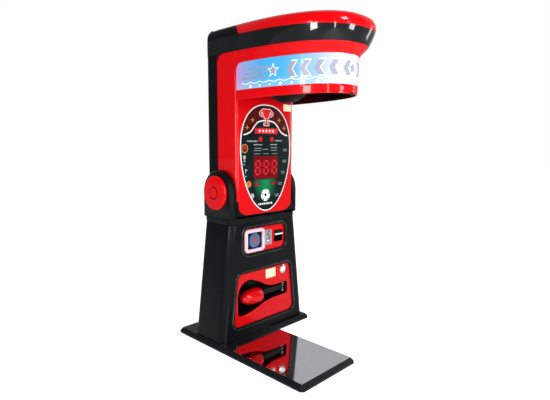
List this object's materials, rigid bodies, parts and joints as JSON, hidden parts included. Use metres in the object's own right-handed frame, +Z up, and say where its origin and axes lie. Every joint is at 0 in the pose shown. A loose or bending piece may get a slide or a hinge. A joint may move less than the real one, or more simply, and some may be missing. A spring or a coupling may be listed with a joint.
{
  "type": "boxing punch machine",
  "caption": "Arcade strength tester: tapered pedestal with kicking ball and coin panel, folding column with oval display, overhanging lit head with swing-down punch bag, L-shaped floor plate.",
  "frame": {"origin": "on the floor, directly under the axis that the head folds about, in the centre plane of the column", "axes": "+Z up, -Y towards the player, +X to the player's right"},
  "size_m": [0.918, 1.302, 2.198],
  "materials": {
    "red_gloss_plastic": "gloss",
    "red_gloss_panel": "gloss",
    "black_shell": "satin",
    "black_metal": "satin",
    "mirror_steel": "mirror",
    "chrome": "polished",
    "zinc_steel": "zinc plated",
    "case_aluminium": "satin",
    "circuit_board": "satin",
    "sign_print": "gloss",
    "lamp_diffuser": "diffuse",
    "display_print": "gloss",
    "display_outline": "gloss",
    "led_red": "gloss",
    "button_red": "gloss",
    "button_white": "gloss",
    "button_swirl": "gloss",
    "bezel_pale": "gloss",
    "bag_leather": "satin",
    "ball_red": "gloss"
  },
  "bodies": {
    "root": {"base_tray": "black_metal", "base_bottom_plate": "zinc_steel", "tread_plate": "mirror_steel", "pedestal_casing": "black_shell", "side_post_left": "zinc_steel", "side_post_right": "zinc_steel", "frame_shelf": "zinc_steel", "yoke_collar": "black_shell", "yoke_arm_left": "black_shell", "yoke_arm_right": "black_shell", "hub_cap_left": "red_gloss_plastic", "hub_cap_right": "red_gloss_plastic", "pivot_shaft": "zinc_steel", "kicker_panel": "red_gloss_panel", "kicker_recess_liner": "black_shell", "kicker_bracket": "zinc_steel", "kicker_pin": "zinc_steel", "kick_button_bezel": "chrome", "control_panel": "red_gloss_panel", "start_bezel": "bezel_pale", "start_plate": "black_shell", "coin_plate": "chrome", "coin_mechanism": "case_aluminium", "return_cup": "black_shell", "cash_box": "zinc_steel", "power_supply": "case_aluminium", "main_board": "circuit_board", "power_inlet": "black_shell", "door_hinge_pin": "zinc_steel"},
    "head": {"column_shell": "red_gloss_plastic", "column_back_cover": "black_shell", "column_heel": "black_shell", "column_toe_trim": "black_shell", "display_bezel": "display_outline", "display_panel": "display_print", "led_display": "led_red", "head_skirt": "red_gloss_plastic", "head_band": "black_shell", "head_crown": "red_gloss_plastic", "head_rear_cap": "black_shell", "sign_band": "sign_print", "ring_lower": "red_gloss_plastic", "head_deck": "black_metal", "sign_lamp": "lamp_diffuser", "head_frame": "zinc_steel", "latch_magnet": "zinc_steel", "loudspeaker": "case_aluminium"},
    "bag": {"bag_arm": "zinc_steel", "punch_bag": "bag_leather"},
    "kicker": {"kicker_arm": "black_metal", "kicker_ball": "ball_red"},
    "start": {"start_button": "button_swirl"},
    "kick_start": {"kick_button": "button_white"},
    "coin_return": {"coin_return_button": "chrome"},
    "flap": {"return_flap": "chrome"},
    "mode_left": {"mode_button_left": "button_red"},
    "mode_right": {"mode_button_right": "button_red"},
    "door": {"service_door": "black_metal"},
    "lock": {"lock_barrel": "chrome"}
  },
  "joints": [
    {"name": "head_fold", "type": "hinge", "parent": "root", "child": "head", "pos_m": [0, 0, 1.072], "axis": [1, 0, 0], "range_deg": [0, 90]},
    {"name": "bag_swing", "type": "hinge", "parent": "head", "child": "bag", "pos_m": [0, -0.7, 1.8047], "axis": [-1, 0, 0], "range_deg": [0, 90]},
    {"name": "kicker_swing", "type": "hinge", "parent": "root", "child": "kicker", "pos_m": [0.22, -0.105, 0.3], "axis": [0, 0, 1], "range_deg": [0, 90]},
    {"name": "start_press", "type": "slide", "parent": "root", "child": "start", "axis": [0, 1, 0], "range_m": [0, 0.004], "stiffness_N_per_m": 400, "springref_m": -0.003},
    {"name": "kick_start_press", "type": "slide", "parent": "root", "child": "kick_start", "axis": [0, 1, 0], "range_m": [0, 0.004], "stiffness_N_per_m": 400, "springref_m": -0.003},
    {"name": "coin_return_press", "type": "slide", "parent": "root", "child": "coin_return", "axis": [0, 1, 0], "range_m": [0, 0.004], "stiffness_N_per_m": 300, "springref_m": -0.003},
    {"name": "mode_left_press", "type": "slide", "parent": "head", "child": "mode_left", "axis": [0, 1, 0], "range_m": [0, 0.003], "stiffness_N_per_m": 300, "springref_m": -0.003},
    {"name": "mode_right_press", "type": "slide", "parent": "head", "child": "mode_right", "axis": [0, 1, 0], "range_m": [0, 0.003], "stiffness_N_per_m": 300, "springref_m": -0.003},
    {"name": "flap_swing", "type": "hinge", "parent": "root", "child": "flap", "pos_m": [0.14, -0.143, 0.7565], "axis": [1, 0, 0], "range_deg": [0, 60]},
    {"name": "door_swing", "type": "hinge", "parent": "root", "child": "door", "pos_m": [-0.2, 0.1634, 0.455], "axis": [0, 0, 1], "range_deg": [0, 100]},
    {"name": "lock_turn", "type": "hinge", "parent": "door", "child": "lock", "pos_m": [0.178, 0.157, 0.455], "axis": [0, -1, 0], "range_deg": [0, 90]}
  ]
}
